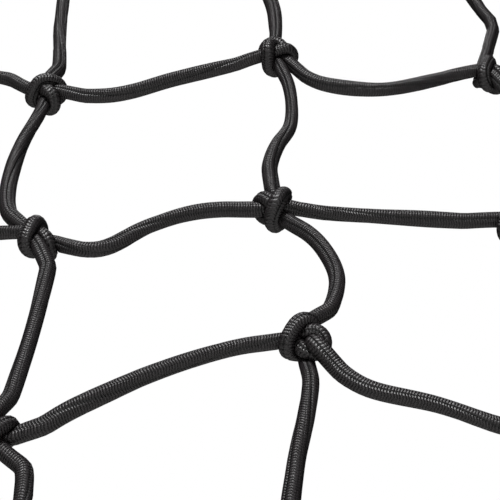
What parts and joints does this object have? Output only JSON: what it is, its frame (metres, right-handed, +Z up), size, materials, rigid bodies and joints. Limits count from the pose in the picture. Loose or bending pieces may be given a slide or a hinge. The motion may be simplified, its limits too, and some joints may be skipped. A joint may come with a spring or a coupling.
{
  "type": "pitch back rebounder",
  "caption": "Square tube frame with a knotted elastic cord net, tilting on clamp knobs in a folding A-frame stand.",
  "frame": {"origin": "on the ground, midway between the two ground bars, under the pivot axis", "axes": "+X is to the right of a player who faces the net, +Y points away from that player, +Z is up"},
  "size_m": [1.3676, 0.6684, 1.1531],
  "materials": {
    "powder_coat": "satin black powder coat on steel",
    "zinc_steel": "bright zinc plate",
    "spring_steel": "oiled spring steel",
    "elastic_cord": "black braided cover on an elastic core",
    "nylon": "moulded black nylon",
    "rubber": "matt moulded rubber"
  },
  "bodies": {
    "front_stand": {"front_left_leg": "powder_coat", "front_right_leg": "powder_coat", "front_leg_saddles": "nylon", "front_leg_caps": "nylon", "front_snap_springs": "spring_steel", "front_ground_bar": "powder_coat", "front_rubber_feet": "rubber", "front_stake_tabs": "powder_coat", "left_quadrant_plate": "powder_coat", "right_quadrant_plate": "powder_coat", "quadrant_bolts": "zinc_steel", "quadrant_nuts": "zinc_steel"},
    "rear_stand": {"rear_left_leg": "powder_coat", "rear_right_leg": "powder_coat", "rear_leg_saddles": "nylon", "rear_leg_caps": "nylon", "rear_snap_springs": "spring_steel", "rear_ground_bar": "powder_coat", "rear_rubber_feet": "rubber", "rear_stake_tabs": "powder_coat", "stand_lock_bolts": "zinc_steel"},
    "net_frame": {"net_frame_left_tube": "powder_coat", "net_frame_right_tube": "powder_coat", "net_frame_bottom_bar": "powder_coat", "net_frame_top_bar": "powder_coat", "net_frame_snap_springs": "spring_steel", "frame_saddles": "nylon", "pivot_bolts": "zinc_steel", "net_row_cords": "elastic_cord", "net_column_cords": "elastic_cord", "net_knots": "elastic_cord", "side_tie_loops": "elastic_cord", "top_bottom_tie_loops": "elastic_cord", "tie_crimps": "zinc_steel"},
    "left_knob_washer": {"left_knob_washer": "zinc_steel"},
    "left_tilt_knob": {"left_tilt_knob": "nylon"},
    "left_lock_washer": {"left_lock_washer": "zinc_steel"},
    "left_stand_lock_knob": {"left_stand_lock_knob": "nylon"},
    "right_knob_washer": {"right_knob_washer": "zinc_steel"},
    "right_tilt_knob": {"right_tilt_knob": "nylon"},
    "right_lock_washer": {"right_lock_washer": "zinc_steel"},
    "right_stand_lock_knob": {"right_stand_lock_knob": "nylon"},
    "bottom_left_snap_button": {"bottom_left_snap_button": "zinc_steel"},
    "bottom_right_snap_button": {"bottom_right_snap_button": "zinc_steel"},
    "top_left_snap_button": {"top_left_snap_button": "zinc_steel"},
    "top_right_snap_button": {"top_right_snap_button": "zinc_steel"},
    "front_left_snap_button": {"front_left_snap_button": "zinc_steel"},
    "front_right_snap_button": {"front_right_snap_button": "zinc_steel"},
    "rear_left_snap_button": {"rear_left_snap_button": "zinc_steel"},
    "rear_right_snap_button": {"rear_right_snap_button": "zinc_steel"}
  },
  "joints": [
    {"name": "net_tilt", "type": "hinge", "parent": "front_stand", "child": "net_frame", "pos_m": [0, 0, 0.64], "axis": [1, 0, 0], "continuous": true},
    {"name": "stand_fold", "type": "hinge", "parent": "front_stand", "child": "rear_stand", "pos_m": [0, 0, 0.64], "axis": [1, 0, 0], "range_deg": [-38, 0]},
    {"name": "left_knob_washer_slide", "type": "slide", "parent": "net_frame", "child": "left_knob_washer", "axis": [-1, 0, 0], "range_m": [0, 0.00301]},
    {"name": "left_tilt_knob_turn", "type": "hinge", "parent": "left_knob_washer", "child": "left_tilt_knob", "pos_m": [-0.66, 0, 0.64], "axis": [-1, 0, 0], "range_deg": [0, 720]},
    {"name": "left_lock_washer_slide", "type": "slide", "parent": "rear_stand", "child": "left_lock_washer", "axis": [-1, 0, 0], "range_m": [0, 0.00201]},
    {"name": "left_stand_lock_knob_turn", "type": "hinge", "parent": "left_lock_washer", "child": "left_stand_lock_knob", "pos_m": [-0.62, 0.06339, 0.50405], "axis": [-1, 0, 0], "range_deg": [0, 720]},
    {"name": "right_knob_washer_slide", "type": "slide", "parent": "net_frame", "child": "right_knob_washer", "axis": [1, 0, 0], "range_m": [0, 0.00301]},
    {"name": "right_tilt_knob_turn", "type": "hinge", "parent": "right_knob_washer", "child": "right_tilt_knob", "pos_m": [0.66, 0, 0.64], "axis": [1, 0, 0], "range_deg": [0, 720]},
    {"name": "right_lock_washer_slide", "type": "slide", "parent": "rear_stand", "child": "right_lock_washer", "axis": [1, 0, 0], "range_m": [0, 0.00201]},
    {"name": "right_stand_lock_knob_turn", "type": "hinge", "parent": "right_lock_washer", "child": "right_stand_lock_knob", "pos_m": [0.62, 0.06339, 0.50405], "axis": [1, 0, 0], "range_deg": [0, 720]},
    {"name": "bottom_left_snap_button_press", "type": "slide", "parent": "net_frame", "child": "bottom_left_snap_button", "axis": [0, -0.9063, 0.4226], "range_m": [0, 0.0062], "stiffness_N_per_m": 800, "springref_m": -0.002, "deforming": ["net_frame_snap_springs"]},
    {"name": "bottom_right_snap_button_press", "type": "slide", "parent": "net_frame", "child": "bottom_right_snap_button", "axis": [0, -0.9063, 0.4226], "range_m": [0, 0.0062], "stiffness_N_per_m": 800, "springref_m": -0.002, "deforming": ["net_frame_snap_springs"]},
    {"name": "top_left_snap_button_press", "type": "slide", "parent": "net_frame", "child": "top_left_snap_button", "axis": [0, -0.9063, 0.4226], "range_m": [0, 0.0062], "stiffness_N_per_m": 800, "springref_m": -0.002, "deforming": ["net_frame_snap_springs"]},
    {"name": "top_right_snap_button_press", "type": "slide", "parent": "net_frame", "child": "top_right_snap_button", "axis": [0, -0.9063, 0.4226], "range_m": [0, 0.0062], "stiffness_N_per_m": 800, "springref_m": -0.002, "deforming": ["net_frame_snap_springs"]},
    {"name": "front_left_snap_button_press", "type": "slide", "parent": "front_stand", "child": "front_left_snap_button", "axis": [1, 0, 0], "range_m": [0, 0.0062], "stiffness_N_per_m": 800, "springref_m": -0.002, "deforming": ["front_snap_springs"]},
    {"name": "front_right_snap_button_press", "type": "slide", "parent": "front_stand", "child": "front_right_snap_button", "axis": [-1, 0, 0], "range_m": [0, 0.0062], "stiffness_N_per_m": 800, "springref_m": -0.002, "deforming": ["front_snap_springs"]},
    {"name": "rear_left_snap_button_press", "type": "slide", "parent": "rear_stand", "child": "rear_left_snap_button", "axis": [1, 0, 0], "range_m": [0, 0.0062], "stiffness_N_per_m": 800, "springref_m": -0.002, "deforming": ["rear_snap_springs"]},
    {"name": "rear_right_snap_button_press", "type": "slide", "parent": "rear_stand", "child": "rear_right_snap_button", "axis": [-1, 0, 0], "range_m": [0, 0.0062], "stiffness_N_per_m": 800, "springref_m": -0.002, "deforming": ["rear_snap_springs"]}
  ],
  "couplings": [
    {"joint": "left_knob_washer_slide", "follows": "left_tilt_knob_turn", "m_per_rad": 0.00023873},
    {"joint": "left_lock_washer_slide", "follows": "left_stand_lock_knob_turn", "m_per_rad": 0.00015915},
    {"joint": "right_knob_washer_slide", "follows": "right_tilt_knob_turn", "m_per_rad": 0.00023873},
    {"joint": "right_lock_washer_slide", "follows": "right_stand_lock_knob_turn", "m_per_rad": 0.00015915}
  ]
}
